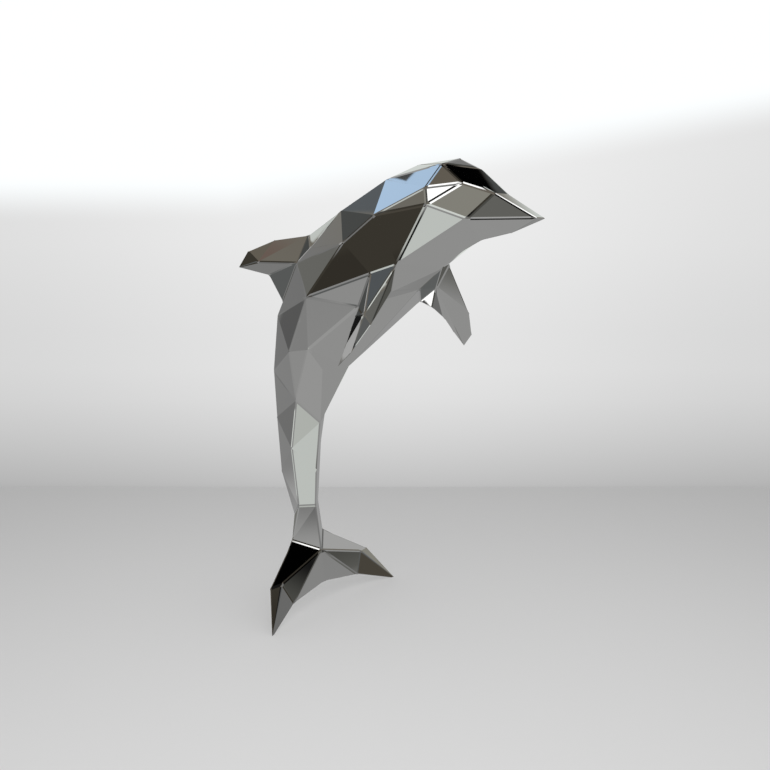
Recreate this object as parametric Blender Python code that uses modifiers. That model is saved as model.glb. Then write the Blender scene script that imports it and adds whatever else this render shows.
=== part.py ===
"""A leaping dolphin folded and welded from flat plates of mirror-polished stainless steel.

The whole sculpture is one sealed skin of thin sheet, so it is one closed solid here. Its corners lie on
a few lines that run from the beak to the flukes: the ridge of the back, the flank, the cheek and the
keel of the belly. Flat plates span neighbouring lines. The right half is built that way, open on the
middle plane, and mirrored.

Frame: +X is the way the beak points, +Y the dolphin's left and +Z up. The origin is on the ground,
midway between the two small flats on which the flukes are fixed down.
"""

import bmesh
import bpy

MILLIMETRE = 0.001
WELD_DISTANCE = 0.0001

# Driving dimensions in millimetres
CROWN_HEIGHT = 2000
BEAK_REACH = 1025
BEAK_END_HALF_WIDTH = 30
BODY_HALF_WIDTH = 235
FLUKE_HALF_SPAN = 405
FLIPPER_HALF_SPAN = 395
FIN_REACH = 685
FLUKE_TIP_DROP = 5  # how far the sharp fluke tips would reach below the ground where they are cut flat

# Corners of the right half's plates, from the beak to the flukes, in millimetres: forwards of the feet,
# out from the middle plane, and up from the ground
RIDGE = {
    "beak_end": (BEAK_REACH, 0, 1775),
    "beak_root": (860, 0, 1865),
    "forehead": (685, 0, 1970),
    "crown": (675, 0, CROWN_HEIGHT),
    "nape": (470, 0, 1990),
    "withers": (305, 0, 1945),
    "saddle": (45, 0, 1830),
    "fin_front": (-160, 0, 1730),
    "fin_rear": (-355, 0, 1420),
    "rump": (-395, 0, 1355),
    "loin": (-435, 0, 1080),
    "tail_upper": (-420, 0, 850),
    "tail_middle": (-395, 0, 580),
    "tail_lower": (-305, 0, 375),
    "fluke_back": (-205, 0, 200),
    "fluke_notch": (-95, 0, 85),
}
FLANK = {
    "lip_end": (BEAK_REACH, BEAK_END_HALF_WIDTH, 1775),
    "beak_side": (860, 45, 1865),
    "brow": (685, 125, 1970),
    "temple": (670, 200, 1885),
    "shoulder": (445, 225, 1795),
    "rib": (290, BODY_HALF_WIDTH, 1695),
    "flank": (35, 200, 1470),
    "hip": (-125, 165, 1220),
    "tail_root": (-160, 100, 985),
    "stock_upper": (-205, 95, 750),
    "stock_lower": (-200, 65, 460),
    "fluke_root": (-210, 100, 295),
}
CHEEK = {
    "eye": (770, 115, 1900),
    "jaw_corner": (795, 120, 1775),
    "neck": (685, 210, 1825),
    "flipper_front": (505, 165, 1610),
    "flipper_top": (390, 185, 1575),
    "flipper_under": (460, 140, 1510),
    "flipper_rear": (330, 190, 1445),
    "belly_side": (-10, 155, 1240),
    "belly_rear": (5, 85, 1145),
}
KEEL = {
    "chin": (905, 0, 1725),
    "throat": (775, 0, 1700),
    "chest": (690, 0, 1660),
    "breast": (600, 0, 1600),
    "belly_front": (480, 0, 1510),
    "belly_end": (80, 0, 1155),
    "keel_upper": (-105, 0, 875),
    "keel_middle": (-135, 0, 640),
    "keel_lower": (-145, 0, 460),
    "fluke_heart": (-110, 0, 245),
}
DORSAL_FIN = {
    "fin_knee": (-400, 0, 1710),
    "fin_shoulder": (-610, 0, 1655),
    "fin_tip": (-FIN_REACH, 0, 1575),
    "fin_heel": (-450, 0, 1540),
    "fin_crest": (-495, 30, 1605),
    "fin_foot": (-195, 45, 1605),
    "fin_fillet": (-100, 50, 1670),
}
FLIPPER = {
    "flipper_knee": (510, 310, 1395),
    "flipper_corner": (475, 380, 1295),
    "flipper_tip": (420, FLIPPER_HALF_SPAN, 1240),
    "flipper_heel": (400, 340, 1305),
    "flipper_waist": (385, 295, 1365),
    "flipper_bend": (360, 240, 1415),
    "flipper_crest": (430, 265, 1425),
}
FLUKE = {
    "fluke_knee": (-115, 320, 155),
    "fluke_tip": (0, FLUKE_HALF_SPAN, -FLUKE_TIP_DROP),
    "fluke_heel": (-75, 210, 55),
    "fluke_crest": (-100, 260, 160),
    "fluke_crest_back": (-140, 265, 140),
}
CORNERS = {**RIDGE, **FLANK, **CHEEK, **KEEL, **DORSAL_FIN, **FLIPPER, **FLUKE}


def remove_everything():
    for item in list(bpy.data.objects):
        bpy.data.objects.remove(item, do_unlink=True)


def polished_steel():
    """Mirror-polished stainless sheet."""
    steel = bpy.data.materials.new("mirror_polished_steel")
    steel.use_nodes = True
    shader = steel.node_tree.nodes["Principled BSDF"]
    shader.inputs["Base Color"].default_value = (0.60, 0.60, 0.59, 1.0)
    shader.inputs["Metallic"].default_value = 1.0
    shader.inputs["Roughness"].default_value = 0.03
    return steel


def stretch(line, first, last):
    """The names of a line's corners from first to last."""
    names = list(line)
    return names[names.index(first) : names.index(last) + 1]


class Plating:
    """The right half's skin, spanned between named corners."""

    def __init__(self):
        self.mesh = bmesh.new()
        self.corner = {}
        for name, (forward, out, up) in CORNERS.items():
            place = (forward * MILLIMETRE, -out * MILLIMETRE, up * MILLIMETRE)
            self.corner[name] = self.mesh.verts.new(place)

    def plate(self, *names):
        self.mesh.faces.new([self.corner[name] for name in names])

    def strip(self, upper, lower, steps):
        """Plates between two lines. Each step moves on along the upper (u) or the lower (l) line."""
        i = 0
        j = 0
        for step in steps:
            if step == "u":
                self.plate(upper[i], lower[j], upper[i + 1])
                i += 1
            else:
                self.plate(upper[i], lower[j], lower[j + 1])
                j += 1
        assert i == len(upper) - 1 and j == len(lower) - 1, "the steps don't reach the ends of the lines"

    def fan(self, hub, rim):
        """Plates that share the hub, one to each pair of neighbours on the rim."""
        for start, end in zip(rim, rim[1:]):
            self.plate(hub, start, end)

    def rosette(self, hub, rim):
        """A fan that goes all the way round its hub."""
        self.fan(hub, rim + rim[:1])


def plate_back(skin):
    """From the top of the beak over the forehead and the back to the root of the flukes."""
    skin.strip(stretch(RIDGE, "beak_end", "forehead"), stretch(FLANK, "lip_end", "brow"), "lulu")
    before_fin = stretch(RIDGE, "forehead", "saddle")
    beside_fin = ["fin_fillet", "fin_foot"]
    behind_fin = stretch(RIDGE, "fin_rear", "fluke_back")
    flank = stretch(FLANK, "brow", "fluke_root")
    skin.strip(before_fin + beside_fin + behind_fin, flank, "uuullul" "uul" "uul" "ululululu")


def plate_side(skin):
    """From the side of the beak over the eye and the ribs to the root of the tail."""
    skin.plate("lip_end", "beak_side", "jaw_corner")
    skin.rosette("eye", ["beak_side", "brow", "temple", "neck", "jaw_corner"])
    skin.plate("neck", "jaw_corner", "flipper_front")
    lower = ["neck", "flipper_front", "flipper_top", "flipper_rear", "belly_side"]
    skin.strip(stretch(FLANK, "temple", "tail_root"), lower, "ulluulluu")


def plate_belly(skin):
    """From under the jaw along the keel to the root of the flukes."""
    side = ["lip_end", "jaw_corner", "flipper_front", "flipper_under", "flipper_rear", "belly_side"]
    skin.strip(side, ["beak_end"] + stretch(KEEL, "chin", "belly_end"), "lullulululu")
    skin.rosette("belly_rear", ["belly_side", "belly_end", "keel_upper", "tail_root"])
    tail = stretch(FLANK, "tail_root", "fluke_root")
    skin.strip(tail, stretch(KEEL, "keel_upper", "fluke_heart"), "ululul")


def plate_dorsal_fin(skin):
    """A wedge swept back from the ridge, thickest along its crest and its foot."""
    skin.strip(["saddle", "fin_front"], ["fin_fillet", "fin_foot"], "ul")
    outline = ["fin_heel", "fin_tip", "fin_shoulder", "fin_knee"]
    skin.rosette("fin_crest", outline + ["fin_front", "fin_foot"])
    skin.plate("fin_heel", "fin_foot", "fin_rear")


def plate_flipper(skin):
    """A blade with a crest on its outer face and a flat inner face."""
    blade = stretch(FLIPPER, "flipper_knee", "flipper_bend")
    skin.rosette("flipper_crest", ["flipper_top", "flipper_front"] + blade + ["flipper_rear"])
    skin.fan("flipper_under", ["flipper_front"] + blade + ["flipper_rear"])


def plate_fluke(skin):
    """A pointed blade with a crest on each face."""
    outer = ["fluke_knee", "fluke_tip", "fluke_heel"]
    skin.rosette("fluke_crest", ["fluke_heart", "fluke_root"] + outer)
    skin.plate("fluke_heart", "fluke_heel", "fluke_notch")
    skin.rosette("fluke_crest_back", ["fluke_root"] + outer + ["fluke_notch", "fluke_back"])


def cut_feet(mesh):
    """Cuts the fluke tip flat on the ground and closes the cut."""
    everything = mesh.verts[:] + mesh.edges[:] + mesh.faces[:]
    cut = bmesh.ops.bisect_plane(
        mesh, geom=everything, plane_co=(0, 0, 0), plane_no=(0, 0, 1), clear_inner=True
    )
    rim = [piece for piece in cut["geom_cut"] if isinstance(piece, bmesh.types.BMEdge)]
    bmesh.ops.contextual_create(mesh, geom=rim)


def build_dolphin():
    collection = bpy.data.collections.new("leaping_dolphin")
    bpy.context.scene.collection.children.link(collection)

    skin = Plating()
    plate_back(skin)
    plate_side(skin)
    plate_belly(skin)
    plate_dorsal_fin(skin)
    plate_flipper(skin)
    plate_fluke(skin)
    cut_feet(skin.mesh)
    bmesh.ops.recalc_face_normals(skin.mesh, faces=skin.mesh.faces[:])

    data = bpy.data.meshes.new("dolphin")
    skin.mesh.to_mesh(data)
    skin.mesh.free()
    data.materials.append(polished_steel())
    dolphin = bpy.data.objects.new("dolphin", data)
    collection.objects.link(dolphin)

    mirror = dolphin.modifiers.new("left half", "MIRROR")
    mirror.use_axis = (False, True, False)
    mirror.use_clip = True
    mirror.merge_threshold = WELD_DISTANCE
    return dolphin


remove_everything()
build_dolphin()
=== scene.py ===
"""The looks of a faceted leaping dolphin in mirror-polished stainless steel, in a plain studio.

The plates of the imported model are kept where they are. Their folds become the ground and polished seams of
the real skin, two narrow mirror strips each, and the steel gets its polish. The studio is a pale floor, a
soft overhead light and a ring of soft boxes and flags around the sculpture, which only the steel mirrors.

Frame: +X is the way the beak points, +Y the dolphin's left and +Z up, in metres. Directions of the studio's
panels are azimuths from +X towards +Y and elevations above the horizon, in degrees.
"""

import math
from collections import namedtuple

import bmesh
import bpy
from mathutils import Euler, Matrix, Vector
from mathutils.geometry import intersect_line_line


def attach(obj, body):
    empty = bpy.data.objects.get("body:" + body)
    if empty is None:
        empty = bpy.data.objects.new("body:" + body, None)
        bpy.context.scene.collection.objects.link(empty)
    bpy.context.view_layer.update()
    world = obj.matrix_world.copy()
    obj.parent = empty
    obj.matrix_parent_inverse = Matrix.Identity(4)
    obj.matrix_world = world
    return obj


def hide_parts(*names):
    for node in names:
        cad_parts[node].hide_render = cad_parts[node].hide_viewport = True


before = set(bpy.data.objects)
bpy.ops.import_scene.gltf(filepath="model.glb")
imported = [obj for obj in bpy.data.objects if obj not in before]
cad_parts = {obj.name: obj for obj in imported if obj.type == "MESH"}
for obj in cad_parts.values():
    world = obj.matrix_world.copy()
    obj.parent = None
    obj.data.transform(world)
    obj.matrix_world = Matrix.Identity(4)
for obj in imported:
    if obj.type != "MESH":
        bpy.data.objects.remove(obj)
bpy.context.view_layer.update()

bl_info = {
    "name": "Leaping steel dolphin",
    "version": (1, 0, 0),
    "blender": (4, 5, 0),
    "location": "3D View > Sidebar > Dolphin",
    "description": "Polishes a faceted steel dolphin and sets up its studio",
    "category": "Object",
}

NODE = "dolphin"
BODY = "root"

# The folded skin, in metres and radians
WELD_DISTANCE = 0.0001
GROUND_CLEARANCE = 0.001  # corners lower than this belong to the flats on the ground
FLAT_JOIN = math.radians(0.2)  # packed triangles that meet flatter than this belong to one plate
PLAIN_FOLD = math.radians(6.6)  # folds flatter than this have no seam
HAIRLINE = 0.0003  # what is left of a seam there
ROUNDING = 1 - math.sqrt(0.5)  # how far in from the fold a seam's middle line lies, in strip widths
SEAM_SHARE = 0.25  # a seam takes at most this share of the narrower plate beside it
BLUNT_CORNER = math.radians(240)  # plate angles round a corner, in all, above which its seams are full
SPIKE_CORNER = math.radians(110)  # and below which they are at their narrowest
SPIKE_SHARE = 0.3  # the share of its full width that a seam has at the sharpest tip
CORNER_GRIND = 0.3  # how far a corner is ground down, from 0 to the level of the seams around it at 1

# The polish: scales are in patches to a metre, haze in shares of the roughness, and the depth in metres
HAZE_SCALE = 6.0
HAZE_DETAIL = 4.0
HAZE_LEAST = 0.6
HAZE_SPREAD = 0.8
RIPPLE_SCALE = 9.0
RIPPLE_DETAIL = 1.0
RIPPLE_STRENGTH = 0.02
RIPPLE_DEPTH = 0.002

FLOOR_ROUGHNESS = 0.9
FRAME_SIDE = 36.0  # the camera's square frame, in millimetres

# The numbers of a Mix node's colour sockets
MIX_UNDER = 6
MIX_OVER = 7
MIX_RESULT = 2


def linear(level):
    """The linear light of a screen level of 0 to 1, by the sRGB curve."""
    return ((level + 0.055) / 1.055) ** 2.4 if level > 0.04045 else level / 12.92


def srgb(*values):
    """A colour in linear light from screen values of 0 to 255. One value gives a grey."""
    if len(values) == 1:
        values = values * 3
    return tuple(linear(value / 255) for value in values)


class Wire:
    """A socket of a shader tree. Arithmetic on it adds Math nodes."""

    def __init__(self, tree, socket=None):
        self.tree = tree
        self.socket = socket

    def node(self, kind, settings=None, values=None, output=0):
        """Adds a node: its settings first, then the values or links of its sockets, by name or number."""
        made = self.tree.nodes.new(kind)
        for name, value in (settings or {}).items():
            if name == "stops":
                ramp = made.color_ramp.elements
                while len(ramp) < len(value):
                    ramp.new(1.0)
                for stop, (position, colour) in zip(ramp, value):
                    stop.position = position
                    stop.color = (*colour, 1.0)
            else:
                setattr(made, name, value)
        for key, value in (values or {}).items():
            socket = made.inputs[key]
            if isinstance(value, Wire):
                self.tree.links.new(value.socket, socket)
            elif socket.type == "RGBA":
                socket.default_value = (*value, 1.0)
            else:
                socket.default_value = value
        return Wire(self.tree, made.outputs[output] if made.outputs else None)

    def math(self, operation, *values):
        return self.node("ShaderNodeMath", {"operation": operation}, dict(enumerate(values)))

    def __add__(self, other):
        return self.math("ADD", self, other)

    __radd__ = __add__

    def __sub__(self, other):
        return self.math("SUBTRACT", self, other)

    def __rsub__(self, other):
        return self.math("SUBTRACT", other, self)

    def __mul__(self, other):
        return self.math("MULTIPLY", self, other)

    __rmul__ = __mul__

    def __truediv__(self, other):
        return self.math("DIVIDE", self, other)

    def __rtruediv__(self, other):
        return self.math("DIVIDE", other, self)

    def __abs__(self):
        return self.math("ABSOLUTE", self)

    def at_least(self, limit):
        return self.math("MAXIMUM", self, limit)

    def dot(self, vector):
        """This vector's length along a fixed direction."""
        return self.node("ShaderNodeVectorMath", {"operation": "DOT_PRODUCT"}, {0: self, 1: vector}, "Value")

    def fade(self, full, none):
        """1 where this value is at full, 0 where it is at none, and a smooth step between.

        A smooth step stays within 0 and 1 without the node's clamp, which with so many panels would make
        the world too big for the renderer.
        """
        settings = {"interpolation_type": "SMOOTHSTEP", "clamp": False}
        values = {"Value": self, "From Min": none, "From Max": full, "To Min": 0.0, "To Max": 1.0}
        if full < none:
            values.update({"From Min": full, "From Max": none, "To Min": 1.0, "To Max": 0.0})
        return self.node("ShaderNodeMapRange", settings, values)

    def mix(self, under, over):
        """The colour under, with over in its place where this mask is 1."""
        values = {0: self, MIX_UNDER: under, MIX_OVER: over}
        return self.node("ShaderNodeMix", {"data_type": "RGBA"}, values, MIX_RESULT)

    def ramp(self, stops):
        """Colours by this value. Stops are (position, colour)."""
        return self.node("ShaderNodeValToRGB", {"stops": stops}, {0: self})


def compass(azimuth, elevation):
    """The direction of an azimuth and an elevation in degrees."""
    turn = math.radians(azimuth)
    rise = math.radians(elevation)
    level = math.cos(rise)
    return Vector((math.cos(turn) * level, math.sin(turn) * level, math.sin(rise)))


# Paints and cloths of the studio's walls, soft boxes and flags, darkest first
BLACK = srgb(2)
SOOT = srgb(30)
PEAT = srgb(63, 59, 52)
UMBER = srgb(72, 68, 60)
FLINT = srgb(83, 85, 84)
BARK = srgb(90, 85, 76)
SLATE = srgb(92, 92, 88)
GRAPHITE = srgb(101)
DUSK = srgb(100, 105, 109)
PEWTER = srgb(109, 111, 111)
TAUPE = srgb(122, 115, 104)
RUSSET = srgb(130, 113, 104)
DRAB = srgb(121, 121, 117)
STONE = srgb(131)
ASH = srgb(149)
DOVE = srgb(158)
LINEN = srgb(163, 161, 152)
PALE = srgb(174)
MIST = srgb(185)
SILVER = srgb(198)
CHALK = srgb(217, 221, 216)
SKY = (0.57, 0.78, 1.05)
IVORY = srgb(233, 238, 234)
GLOW = (1.0, 1.04, 1.0)
LAMP = (1.9, 1.9, 1.9)

# The studio that the steel mirrors, by elevation: the floor below and plain walls that darken upwards
STUDIO_TONES = (
    (-90, srgb(177)),
    (-40, srgb(177)),
    (-30, srgb(172)),
    (-16, srgb(163)),
    (-11, srgb(154)),
    (-6, srgb(146)),
    (4, srgb(139)),
    (12, srgb(134)),
    (20, srgb(135, 131, 121)),
    (26, srgb(132, 126, 117)),
    (69, srgb(125, 118, 108)),
    (74, srgb(60, 56, 50)),
    (79, BLACK),
    (90, BLACK),
)

# A soft box or flag as seen from the sculpture: where it hangs, its size, its tilt and how soft its rim is,
# all in degrees
Panel = namedtuple("Panel", "azimuth elevation width height colour roll edge", defaults=(0, 1.0))

STUDIO_PANELS = (
    # the walls and the floor behind and beside the sculpture
    Panel(-110, -58, 50, 30, MIST, edge=8),
    Panel(170, -17, 24, 13, ASH, edge=4),
    Panel(164, -6, 18, 8, STONE, edge=4),
    Panel(172.8, -22.6, 4, 3, MIST, edge=3),
    Panel(110, -33, 24, 26, DOVE, edge=4),
    # in front, to the dolphin's right: what the head, the neck and the tail stock mirror
    Panel(-39, -25, 20, 7.5, IVORY),
    Panel(-35, -32, 16, 6, CHALK),
    Panel(-41, -9, 16, 8, MIST),
    Panel(-43.4, -6, 5, 3, STONE, edge=3),
    Panel(-38.5, -8.8, 4, 3, ASH, edge=3),
    Panel(-39, -14, 8, 2, CHALK, edge=0.5),
    Panel(-42, 20.5, 18, 9, LINEN),
    Panel(-52, 37, 12, 5, LAMP),
    Panel(-48, 31.4, 14, 3.6, SOOT, edge=0.5),
    Panel(-55, 32.8, 4, 2.4, UMBER, edge=0.5),
    Panel(-44, 26.7, 10, 3, LAMP, edge=0.5),
    Panel(-52, 45, 7, 3, ASH),
    Panel(-55, 59.5, 8, 5, LAMP),
    Panel(-34, 15.6, 4, 3, UMBER),
    Panel(-50, -1, 5, 3.4, GLOW),
    Panel(-81, 14, 5, 3, SILVER),
    Panel(-82.5, -4.2, 2, 3, MIST, edge=0.5),
    Panel(-74.5, 40, 7, 18, SLATE),
    Panel(-91, 55, 12, 8, DRAB),
    Panel(-57, 67, 8, 5, TAUPE),
    Panel(-35.5, 73.8, 10, 2.4, BARK, edge=0.5),
    # under the belly: what the neck and the lower jaw mirror
    Panel(-84, -56.7, 7, 3.6, IVORY, edge=0.5),
    Panel(-90, -54.3, 6, 2, SOOT, edge=0.5),
    Panel(-98.5, -48, 8, 3, SOOT),
    Panel(-96, -63, 5, 3, SOOT, edge=0.5),
    # to the right and behind: what the shoulder, the dorsal fin and the flipper mirror
    Panel(-115.3, -26.6, 19.8, 19.2, UMBER, roll=-33, edge=0.6),
    Panel(-129, -24.4, 3, 4, DOVE, edge=0.5),
    Panel(-126.6, -27.8, 6, 2.6, PEAT),
    Panel(-115, -33.5, 10, 4, CHALK),
    Panel(-112, -4.5, 6, 5, IVORY),
    Panel(-122, -12, 6, 4, BARK),
    Panel(-134, -8.8, 4, 2.6, PALE),
    Panel(-129, -8.8, 5, 2.6, PEWTER),
    Panel(-140.5, -12, 6, 4, UMBER),
    Panel(-145.1, -14.8, 1.4, 3.2, GLOW, edge=0.3),
    Panel(-150.5, -17, 4, 4, STONE, edge=0.5),
    Panel(-148, -24, 2.4, 4, IVORY, edge=0.5),
    Panel(-133, -38, 7, 2.4, MIST, edge=0.5),
    Panel(-131.5, -2.5, 8, 6, PALE),
    Panel(-136, 9.5, 32, 7, UMBER),
    Panel(-167, 10.5, 18, 14, UMBER),
    Panel(-158, -12, 10, 24, PEWTER),
    Panel(-161, -28.5, 8, 4, ASH),
    Panel(-159.6, -23.2, 1.8, 3.4, IVORY, edge=0.4),
    Panel(-150.5, 18.4, 8, 5, RUSSET, edge=3),
    Panel(-148, 37, 14, 7, DUSK),
    Panel(-157, 33.5, 4, 4, SLATE),
    Panel(-145.5, 41.4, 4, 2.4, GLOW, edge=0.3),
    Panel(-135.5, 48.6, 4, 4.4, FLINT),
    Panel(-146, 32, 5, 3, IVORY, edge=0.5),
    Panel(-127.5, 24, 4, 2.5, DUSK),
    Panel(-159, 20.8, 5, 3, TAUPE),
    Panel(-162.5, 22.2, 1.6, 2.4, FLINT, edge=0.5),
    Panel(-159.5, -18, 2, 1.6, UMBER, edge=0.5),
    Panel(-107, 25.5, 3, 3, LINEN),
    Panel(-118, 71, 12, 6, SKY),
    Panel(-104, 55, 5, 6, UMBER),
    # behind: what the back, the fin's root and the flipper mirror
    Panel(-174, 25.5, 5, 4, SOOT),
    Panel(-170, 25, 2.6, 3, UMBER, edge=0.5),
    Panel(-171, 29.8, 6, 4, GLOW, edge=0.5),
    Panel(-179.1, 25, 1.8, 3, DRAB, edge=0.2),
    Panel(-179, 27.9, 4, 2, PEWTER, roll=-40, edge=0.5),
    Panel(-174, 19, 4, 3, FLINT),
    Panel(175.9, 23.6, 7.5, 3.6, IVORY, roll=12, edge=0.2),
    Panel(178, 24.4, 2, 1.8, DRAB, edge=0.2),
    Panel(179.1, 24.1, 0.8, 1.6, SOOT, edge=0.1),
    Panel(172.5, 17.5, 10, 3.5, SILVER, roll=38, edge=0.6),
    Panel(170.8, 20.6, 1.4, 1.4, SOOT, edge=0.2),
    Panel(176.8, 15.3, 5, 2.6, FLINT, edge=0.6),
    Panel(162.7, 18.3, 0.9, 1.6, SOOT, edge=0.2),
    Panel(163.8, 18.5, 1.2, 4, SILVER, edge=0.2),
    Panel(165.5, 18, 3, 4, SOOT, edge=0.6),
    Panel(157, 19.6, 6, 4, FLINT, edge=0.6),
    Panel(150, 21.5, 6, 5, DUSK, edge=0.6),
    Panel(155, 28.5, 12, 9, SKY, edge=0.6),
    Panel(156.25, 27.87, 1.4, 1, FLINT, roll=71, edge=0.15),
    Panel(156.32, 28.49, 1, 0.8, FLINT, roll=-49, edge=0.15),
    Panel(151.2, 27.4, 1.6, 3.2, PALE, edge=0.15),
    Panel(145.2, 24.7, 2.2, 2.6, PALE, edge=0.3),
    Panel(176, 48, 3, 2.4, UMBER, edge=0.5),
    Panel(176, 1, 2, 3, SLATE, edge=0.5),
    Panel(164.5, 2.3, 5, 4, STONE, edge=0.5),
    Panel(168.8, -1.2, 5, 4, GRAPHITE, edge=0.5),
    Panel(157, 3.5, 5, 5, FLINT),
    Panel(171, 9, 8, 5, DRAB),
    Panel(174.7, 11, 1.6, 3, SILVER, edge=0.3),
    Panel(159.9, 6.9, 1.6, 1.6, FLINT, edge=0.3),
    Panel(159.2, 14, 1.1, 1.2, UMBER, edge=0.2),
    Panel(176.5, -11.3, 2.6, 4.4, STONE, edge=0.8),
    Panel(149.4, -18.8, 2, 3, DRAB, edge=0.5),
    # to the left: what the forehead, the top of the beak and the far side of the belly mirror
    Panel(139, 21.7, 9, 5, IVORY),
    Panel(129, 12.2, 6, 3, CHALK),
    Panel(134, -12, 4, 4, CHALK),
    Panel(123.5, -3, 3, 3, CHALK),
    Panel(111.5, 20.2, 14, 9.4, IVORY, edge=2),
    Panel(112, 26.9, 9, 1.2, FLINT, edge=0.3),
    Panel(113, 36.5, 20, 18.2, BLACK, edge=0.4),
    Panel(101, 51, 12, 3, LAMP, edge=0.5),
    Panel(123.7, 33.2, 1.6, 1.2, PALE, edge=0.3),
    Panel(102.4, 41.8, 1, 0.8, IVORY, edge=0.2),
    Panel(78.2, 43.1, 2, 2, DOVE, edge=0.5),
    Panel(90, 27, 10, 8, SILVER),
    Panel(79, 19, 9, 8, LINEN),
    Panel(63, 26, 12, 8, ASH),
    Panel(75, 34, 3, 3, SLATE),
    Panel(149.5, -48, 3, 3, SOOT, edge=0.5),
    Panel(108, -33, 2, 2, DRAB, edge=0.5),
    Panel(110, -9.5, 24, 9, SLATE),
    Panel(114.9, -25.8, 12, 2.2, PEWTER, roll=32, edge=0.5),
    Panel(156.6, -60.8, 3, 2.4, LAMP, edge=0.5),
    Panel(157.2, -60.15, 1.4, 0.66, SOOT, edge=0.08),
    Panel(133, -56, 3, 3, LAMP),
    Panel(160.7, -59, 2, 1.8, SLATE, edge=0.5),
    Panel(168, -53.5, 9, 6, STONE),
    # in front: what the flukes mirror
    Panel(50, 69.5, 34, 14, BLACK),
    Panel(-1, 67, 6, 4, LAMP),
    Panel(-11, 50.5, 4, 3, LAMP),
    Panel(18, 47.5, 18, 15, UMBER),
    Panel(9.6, 47.4, 4, 3, PEAT, edge=3),
    Panel(23.5, 45, 4.5, 2, PEAT, edge=0.5),
    Panel(17, 57.5, 12, 8, SOOT, edge=0.5),
    Panel(29.5, 35, 4, 3, SOOT, edge=0.5),
    Panel(31, 18.5, 3, 3, PEWTER),
    Panel(49.5, 13, 3, 3, PEWTER),
    Panel(28, 13, 6, 6, BLACK),
    Panel(16, 9, 15, 12, BARK),
    Panel(34.5, -6, 11, 8, SLATE, edge=0.5),
    Panel(33.9, -4, 3, 8, SOOT, roll=45, edge=3),
    Panel(35, -1, 4, 2.4, PEWTER, edge=0.5),
    Panel(43.5, -4, 7, 5, SLATE, edge=0.5),
    Panel(44.2, -7.6, 6, 3, DRAB, edge=3),
    Panel(41, -8, 3, 3, ASH, edge=0.5),
    Panel(36, -13, 3, 2.4, DRAB),
    Panel(54, -1.5, 4, 3, UMBER),
    Panel(62, -1.5, 7, 5, STONE),
    Panel(64.5, -8.3, 2.4, 5.4, PEAT),
    Panel(52, 9, 4, 3, PALE),
    Panel(3, -32, 14, 9, PALE),
    Panel(3, -30, 8, 3, DRAB, edge=3),
)

# The wall behind the floor, by elevation as seen straight ahead of the camera, with painted shade that
# darkens it towards its foot
WALL_TONES = (
    (-18.4, srgb(189)),
    (-18, srgb(194)),
    (-17, srgb(200)),
    (-15.5, srgb(208)),
    (-14, srgb(215)),
    (-11.7, srgb(224)),
    (-9.4, srgb(229)),
    (-6.4, srgb(230)),
    (-3.4, srgb(233)),
    (0, srgb(237)),
    (6, srgb(240)),
    (12, srgb(242)),
)

# Places on the wall are tangents of the angle up or to the side from straight ahead of the camera
WALL_FALLOFF = 0.14  # how much darker painted shade makes the wall far to the sides
WALL_FALLOFF_END = 0.6  # and where it is darkest
GLARE = (1.0, 1.03, 1.04)  # the light from above on the wall, whose lower edge climbs to the right
GLARE_CLIMB = 0.164
GLARE_CLIMB_START = -0.2  # the edge is level to the left of here
GLARE_FULL = 0.125
GLARE_NONE = 0.06

# How far a direction of length 1 points at the wall or at a panel, at least, when it is measured there
WALL_REACH = 0.8
PANEL_REACH = 0.001  # above 0, so that a panel has no double on the opposite side


def by_elevation(height, tones, measure=math.sin):
    """Colours by the sine or tangent of the elevation, between the lowest and the highest of the tones."""
    heights = [measure(math.radians(elevation)) for elevation, colour in tones]
    low = heights[0]
    span = heights[-1] - low
    stops = [((at - low) / span, colour) for at, (elevation, colour) in zip(heights, tones)]
    return ((height - low) / span).ramp(stops)


def panel_mask(direction, panel):
    """1 inside the panel as seen from the sculpture, with soft edges."""
    centre = compass(panel.azimuth, panel.elevation)
    across = Vector((0, 0, 1)).cross(centre).normalized()
    up = centre.cross(across)
    turn = Matrix.Rotation(math.radians(panel.roll), 3, centre)
    ahead = direction.dot(centre).at_least(PANEL_REACH)
    soft = math.radians(panel.edge)
    masks = []
    for axis, extent in ((turn @ across, panel.width), (turn @ up, panel.height)):
        rim = math.tan(math.radians(extent / 2))
        masks.append(abs(direction.dot(axis) / ahead).fade(rim - soft / 2, rim + soft / 2))
    return masks[1] * masks[0]


class SteelSettings(bpy.types.PropertyGroup):
    """Sizes and colours of the steel skin."""

    seam_width: bpy.props.FloatProperty(
        name="Seam width",
        description="Width of each of the two mirror strips of a seam",
        default=0.0068,
        min=0.001,
        max=0.02,
        unit="LENGTH",
    )
    colour: bpy.props.FloatVectorProperty(
        name="Steel colour",
        description="Colour of the polished stainless sheet",
        default=(0.60, 0.60, 0.59),
        subtype="COLOR",
    )
    polish: bpy.props.FloatProperty(
        name="Roughness",
        description="Roughness of the mirror polish, 0 for a perfect mirror",
        default=0.02,
        min=0.0,
        max=1.0,
        subtype="FACTOR",
    )


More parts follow.
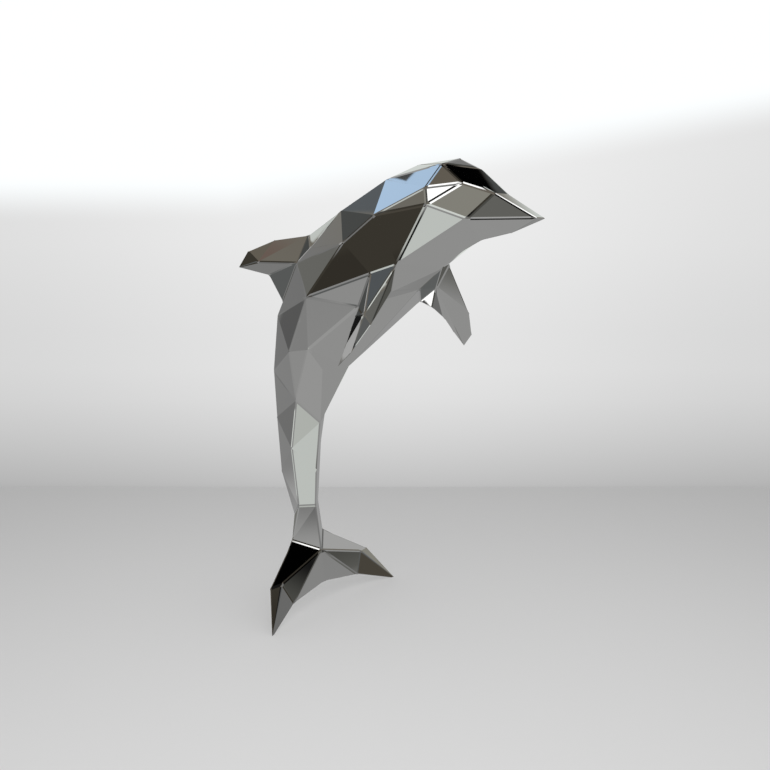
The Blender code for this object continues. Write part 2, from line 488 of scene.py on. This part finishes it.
class StudioSettings(bpy.types.PropertyGroup):
    """Places, sizes and colours of the studio and the camera."""

    floor_colour: bpy.props.FloatVectorProperty(
        name="Floor colour",
        description="Colour of the plain floor",
        default=(0.72, 0.72, 0.72),
        subtype="COLOR",
    )
    floor_depth: bpy.props.FloatProperty(
        name="Floor depth",
        description="How far the floor reaches from under the camera to its back edge",
        default=5.08,
        unit="LENGTH",
    )
    floor_half_width: bpy.props.FloatProperty(
        name="Floor half width",
        description="How far the floor reaches to each side of the camera, and behind it",
        default=12.0,
        unit="LENGTH",
    )
    ambient: bpy.props.FloatProperty(
        name="Ambient light",
        description="Strength of the even light from all around",
        default=0.5,
        min=0.0,
    )
    key_power: bpy.props.FloatProperty(
        name="Soft light power",
        description="Power of the large soft light",
        default=101.0,
        min=0.0,
        unit="POWER",
    )
    key_size: bpy.props.FloatProperty(
        name="Soft light size",
        description="Side of the large soft light",
        default=4.0,
        unit="LENGTH",
    )
    key_place: bpy.props.FloatVectorProperty(
        name="Soft light place",
        description="Where the large soft light hangs",
        default=(1.65, -1.5, 3.8),
        subtype="XYZ",
        unit="LENGTH",
    )
    eye_point: bpy.props.FloatVectorProperty(
        name="Camera place",
        description="Where the camera stands",
        default=(2.3919, -2.3131, 1.6847),
        subtype="XYZ",
        unit="LENGTH",
    )
    heading: bpy.props.FloatProperty(
        name="Camera heading",
        description="The camera's turn from looking along +Y, to the left",
        default=math.radians(42.13),
        unit="ROTATION",
    )
    dip: bpy.props.FloatProperty(
        name="Camera dip",
        description="How far below the horizon the camera looks",
        default=math.radians(10.59),
        unit="ROTATION",
    )
    lens: bpy.props.FloatProperty(
        name="Lens",
        description="Focal length on a 36 mm square frame",
        default=35.0,
        unit="CAMERA",
    )


def welded_plates():
    """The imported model's plates with their shared corners joined."""
    plates = bmesh.new()
    plates.from_mesh(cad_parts[NODE].data)
    bmesh.ops.remove_doubles(plates, verts=plates.verts[:], dist=WELD_DISTANCE)
    bmesh.ops.recalc_face_normals(plates, faces=plates.faces[:])
    flat = [edge for edge in plates.edges if edge.calc_face_angle() < FLAT_JOIN]
    bmesh.ops.dissolve_edges(plates, edges=flat)
    plates.normal_update()
    return plates


def narrowest(edge):
    """The smaller height of the two plates beside an edge, measured from it."""
    return min(2 * face.calc_area() / edge.calc_length() for face in edge.link_faces)


def corner_share(corner):
    """How much of the seam width the seams have at a corner: less at the tips of the fins and flukes."""
    around = sum(loop.calc_angle() for loop in corner.link_loops)
    sharpness = (BLUNT_CORNER - around) / (BLUNT_CORNER - SPIKE_CORNER)
    return 1 - (1 - SPIKE_SHARE) * min(1.0, max(0.0, sharpness))


def seam_at(corner, edge, seam_width):
    """The width of each strip of an edge's seam at one of its corners."""
    if edge.calc_face_angle() < PLAIN_FOLD or corner.co.z < GROUND_CLEARANCE:
        return HAIRLINE
    return max(HAIRLINE, min(corner_share(corner) * seam_width, SEAM_SHARE * narrowest(edge)))


def inward(side):
    """The direction in a plate's plane that points from one of its sides to its middle."""
    return side.face.normal.cross(side.link_loop_next.vert.co - side.vert.co).normalized()


def inset_corner(turn, widths):
    """Where a plate's corner lies once the seams along its two sides have taken their widths."""
    line_ends = []
    for side in (turn, turn.link_loop_prev):
        for end in (side.vert, side.link_loop_next.vert):
            line_ends.append(end.co + widths[end, side.edge] * inward(side))
    return intersect_line_line(*line_ends)[0]


def seam_middle(corner, edge, insets, widths):
    """The end at a corner of the line where the two strips of a seam meet, as on a quarter round."""
    far = edge.other_vert(corner)
    along = far.co - corner.co
    offsets = [insets[corner, face].co - corner.co for face in edge.link_faces]
    feet = [offset.dot(along) / along.length_squared for offset in offsets]
    reach = sum(max(0.0, foot) for foot in feet) / 2
    width = widths[corner, edge] * (1 - reach) + widths[far, edge] * reach
    sides = sum((inward(side) for side in edge.link_loops), Vector())
    return corner.co + reach * along + ROUNDING * width * sides


def folded_skin(plates, seam_width):
    """The plates with a seam of two strips along each fold and a small faceted cap over each corner."""
    ends = [(corner, edge) for edge in plates.edges for corner in edge.verts]
    widths = {(corner, edge): seam_at(corner, edge, seam_width) for corner, edge in ends}
    skin = bmesh.new()
    insets = {}
    for plate in plates.faces:
        for turn in plate.loops:
            insets[turn.vert, plate] = skin.verts.new(inset_corner(turn, widths))
        skin.faces.new([insets[corner, plate] for corner in plate.verts])
    middles = {end: skin.verts.new(seam_middle(*end, insets, widths)) for end in ends}
    for plate in plates.faces:
        for side in plate.loops:
            start = side.vert
            end = side.link_loop_next.vert
            outer = [middles[start, side.edge], middles[end, side.edge]]
            skin.faces.new([insets[end, plate], insets[start, plate]] + outer)
    for corner in plates.verts:
        around = [middles[corner, edge].co for edge in corner.link_edges]
        depth = corner.normal.dot(corner.co - sum(around, Vector()) / len(around))
        top = skin.verts.new(corner.co - CORNER_GRIND * depth * corner.normal)
        for turn in corner.link_loops:
            inset = insets[corner, turn.face]
            skin.faces.new([top, middles[corner, turn.edge], inset])
            skin.faces.new([top, inset, middles[corner, turn.link_loop_prev.edge]])
    return skin


def steel_material(settings):
    """Mirror polish with a trace of haze from the last buffing and the faint ripple of thin sheet."""
    steel = bpy.data.materials.new("mirror_polished_steel")
    steel.use_nodes = True
    tree = steel.node_tree
    tree.nodes.clear()
    sheet = Wire(tree)
    place = sheet.node("ShaderNodeTexCoord", output="Object")
    haze_values = {"Vector": place, "Scale": HAZE_SCALE, "Detail": HAZE_DETAIL}
    haze = sheet.node("ShaderNodeTexNoise", None, haze_values, "Fac")
    roughness = settings.polish * (haze * HAZE_SPREAD + HAZE_LEAST)
    ripple_values = {"Vector": place, "Scale": RIPPLE_SCALE, "Detail": RIPPLE_DETAIL}
    ripple = sheet.node("ShaderNodeTexNoise", None, ripple_values, "Fac")
    bump_values = {"Strength": RIPPLE_STRENGTH, "Distance": RIPPLE_DEPTH, "Height": ripple}
    normal = sheet.node("ShaderNodeBump", None, bump_values)
    shader = sheet.node(
        "ShaderNodeBsdfPrincipled",
        None,
        {
            "Base Color": tuple(settings.colour),
            "Metallic": 1.0,
            "Roughness": roughness,
            "Normal": normal,
        },
    )
    sheet.node("ShaderNodeOutputMaterial", None, {"Surface": shader})
    return steel


class DOLPHIN_OT_steel_skin(bpy.types.Operator):
    """Builds the polished skin of plates and seams"""

    bl_idname = "dolphin.steel_skin"
    bl_label = "Steel skin"

    def execute(self, context):
        settings = context.scene.dolphin_steel
        plates = welded_plates()
        folded = folded_skin(plates, settings.seam_width)
        data = bpy.data.meshes.new("dolphin_skin")
        folded.to_mesh(data)
        folded.free()
        plates.free()
        data.materials.append(steel_material(settings))
        skin = bpy.data.objects.new("dolphin_skin", data)
        context.scene.collection.objects.link(skin)

        skin.visible_glossy = False
        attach(skin, BODY)
        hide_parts(NODE)
        return {"FINISHED"}


def floor_material(settings):
    """Matt pale floor."""
    material = bpy.data.materials.new("plain_floor")
    material.use_nodes = True
    tree = material.node_tree
    tree.nodes.clear()
    paint = Wire(tree)
    values = {"Base Color": tuple(settings.floor_colour), "Roughness": FLOOR_ROUGHNESS}
    shader = paint.node("ShaderNodeBsdfPrincipled", None, values)
    paint.node("ShaderNodeOutputMaterial", None, {"Surface": shader})
    return material


def level_axes(settings):
    """The level directions straight ahead of the camera and to its right."""
    ahead = Vector((-math.sin(settings.heading), math.cos(settings.heading), 0))
    return ahead, Vector((ahead.y, -ahead.x, 0))


def make_floor(settings):
    """A plain floor whose back edge is square to the camera."""
    ahead, aside = level_axes(settings)
    under_camera = Vector((settings.eye_point[0], settings.eye_point[1], 0))
    reach = settings.floor_half_width
    near = under_camera - reach * ahead
    far = under_camera + settings.floor_depth * ahead
    corners = [near - reach * aside, near + reach * aside, far + reach * aside, far - reach * aside]
    data = bpy.data.meshes.new("floor")
    data.from_pydata(corners, [], [(0, 1, 2, 3)])
    data.materials.append(floor_material(settings))
    floor = bpy.data.objects.new("floor", data)
    bpy.context.scene.collection.objects.link(floor)
    floor.visible_glossy = False


def seen_wall(direction, settings):
    """A wall square to the camera, with painted shade that darkens it towards its foot and to the sides, and
    washed out by painted light at its top.
    """
    ahead, aside = level_axes(settings)
    depth = direction.dot(ahead).at_least(WALL_REACH)
    rise = direction.dot((0, 0, 1)) / depth
    shift = direction.dot(aside) / depth
    # the wall's tones by elevation, with painted shade darker towards its foot
    paint = by_elevation(rise, WALL_TONES, math.tan)
    # painted shade: the wall is mixed towards black to the sides
    wall = (abs(shift).fade(WALL_FALLOFF_END, 0.0) * WALL_FALLOFF).mix(paint, BLACK)
    # painted light: the wall is washed towards white above an edge that climbs to the right
    above_edge = rise - GLARE_CLIMB * shift.at_least(GLARE_CLIMB_START)
    return above_edge.fade(GLARE_FULL, GLARE_NONE).mix(wall, GLARE)


def make_world(settings):
    """Even light, the wall with its painted shade and light that the camera sees, and the panels that the
    steel mirrors.
    """
    world = bpy.data.worlds.new("studio")
    world.use_nodes = True
    tree = world.node_tree
    tree.nodes.clear()
    studio = Wire(tree)
    direction = studio.node("ShaderNodeTexCoord", output="Generated")
    mirrored = by_elevation(direction.dot((0, 0, 1)), STUDIO_TONES)
    for panel in STUDIO_PANELS:
        mirrored = panel_mask(direction, panel).mix(mirrored, panel.colour)
    seen = seen_wall(direction, settings)
    even = (settings.ambient, settings.ambient, settings.ambient)
    is_camera = studio.node("ShaderNodeLightPath", output="Is Camera Ray")
    is_glossy = studio.node("ShaderNodeLightPath", output="Is Glossy Ray")
    plain = studio.node("ShaderNodeBackground", None, {"Color": is_camera.mix(even, seen)})
    panels = studio.node("ShaderNodeBackground", None, {"Color": mirrored})
    surroundings = studio.node("ShaderNodeMixShader", None, {0: is_glossy, 1: plain, 2: panels})
    studio.node("ShaderNodeOutputWorld", None, {"Surface": surroundings})
    bpy.context.scene.world = world


def make_light(settings):
    """A large light high in front of the sculpture. It casts no shadow, and the steel doesn't mirror it."""
    data = bpy.data.lights.new("soft_light", "AREA")
    data.shape = "SQUARE"
    data.size = settings.key_size
    data.energy = settings.key_power
    data.use_shadow = False
    light = bpy.data.objects.new("soft_light", data)
    bpy.context.scene.collection.objects.link(light)
    light.location = settings.key_place
    light.visible_glossy = False
    light.visible_camera = False


def make_camera(settings):
    """A camera at standing eye level that looks a little down on the sculpture."""
    data = bpy.data.cameras.new("camera")
    data.sensor_width = FRAME_SIDE
    data.lens = settings.lens
    camera = bpy.data.objects.new("camera", data)
    bpy.context.scene.collection.objects.link(camera)
    camera.location = settings.eye_point
    camera.rotation_euler = Euler((math.radians(90) - settings.dip, 0, settings.heading))
    bpy.context.scene.camera = camera


class DOLPHIN_OT_studio(bpy.types.Operator):
    """Sets up the floor, the wall, the light, the mirrored panels and the camera"""

    bl_idname = "dolphin.studio"
    bl_label = "Studio"

    def execute(self, context):
        settings = context.scene.dolphin_studio
        context.scene.view_settings.view_transform = "Standard"
        context.scene.view_settings.look = "None"
        make_floor(settings)
        make_world(settings)
        make_light(settings)
        make_camera(settings)
        return {"FINISHED"}


class DOLPHIN_PT_sidebar(bpy.types.Panel):
    """Lists the settings and the operators"""

    bl_idname = "DOLPHIN_PT_sidebar"
    bl_label = "Steel dolphin"
    bl_space_type = "VIEW_3D"
    bl_region_type = "UI"
    bl_category = "Dolphin"

    def draw(self, context):
        for settings in (context.scene.dolphin_steel, context.scene.dolphin_studio):
            for name in settings.__annotations__:
                self.layout.prop(settings, name)
        self.layout.operator(DOLPHIN_OT_steel_skin.bl_idname)
        self.layout.operator(DOLPHIN_OT_studio.bl_idname)


CLASSES = (SteelSettings, StudioSettings, DOLPHIN_OT_steel_skin, DOLPHIN_OT_studio, DOLPHIN_PT_sidebar)


def register():
    for item in CLASSES:
        bpy.utils.register_class(item)
    bpy.types.Scene.dolphin_steel = bpy.props.PointerProperty(type=SteelSettings)
    bpy.types.Scene.dolphin_studio = bpy.props.PointerProperty(type=StudioSettings)


def unregister():
    del bpy.types.Scene.dolphin_studio
    del bpy.types.Scene.dolphin_steel
    for item in reversed(CLASSES):
        bpy.utils.unregister_class(item)


def main():
    """Builds everything."""
    register()
    bpy.ops.dolphin.steel_skin()
    bpy.ops.dolphin.studio()


if __name__ == "__main__":
    main()
